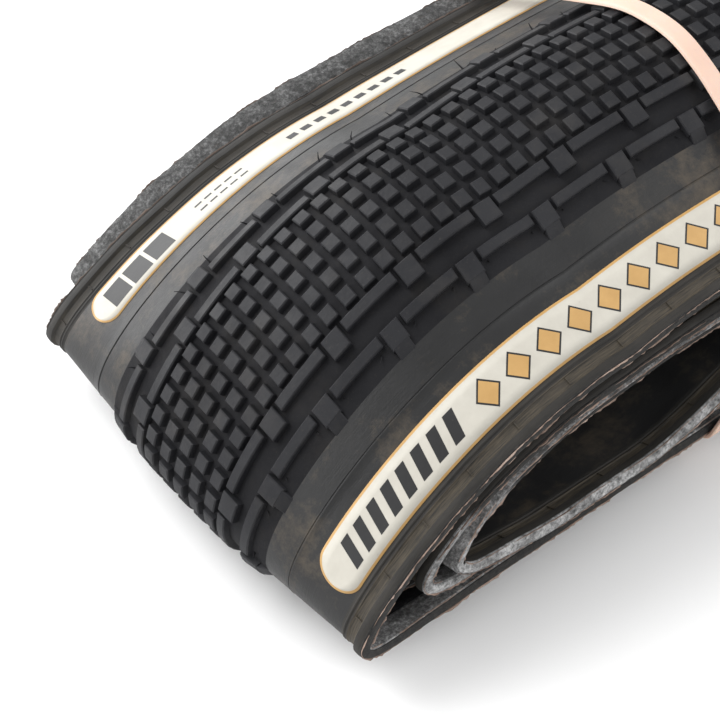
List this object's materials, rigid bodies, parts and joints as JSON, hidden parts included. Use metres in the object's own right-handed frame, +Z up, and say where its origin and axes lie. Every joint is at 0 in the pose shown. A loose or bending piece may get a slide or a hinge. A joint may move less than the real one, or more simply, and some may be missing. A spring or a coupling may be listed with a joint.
{
  "type": "folded bicycle tire",
  "caption": "Folding gravel bicycle tire with block tread, flattened and folded into a flat package held by a rubber band.",
  "frame": {"origin": "centre of the package's bounding box, at its underside", "axes": "+X along the package from the visible nose bend towards the end the band slides off, +Y across the package from bead to bead, +Z up through the layers"},
  "size_m": [0.2663, 0.1446, 0.0835],
  "materials": {
    "tread_rubber": "matte",
    "cushion_rubber": "matte",
    "belt_cord": "woven",
    "casing_cord": "woven, rubberised",
    "liner_rubber": "matte, dusty",
    "sidewall_rubber": "satin",
    "bead_cord": "fibre bundle",
    "chafer_cloth": "rubberised cloth",
    "label_ink": "satin",
    "band_rubber": "satin"
  },
  "bodies": {
    "tire": {"tread_cap": "tread_rubber", "base_rubber": "cushion_rubber", "breaker_belt": "belt_cord", "casing": "casing_cord", "inner_liner": "liner_rubber", "sidewall_near": "sidewall_rubber", "sidewall_far": "sidewall_rubber", "bead_core_near": "bead_cord", "bead_core_far": "bead_cord", "chafer_near": "chafer_cloth", "chafer_far": "chafer_cloth", "label_near": "label_ink", "label_far": "label_ink"},
    "band": {"rubber_band": "band_rubber"}
  },
  "joints": [
    {"name": "band_slide", "type": "slide", "parent": "tire", "child": "band", "axis": [0.9998, 0, -0.02], "range_m": [0, 0.16]}
  ]
}
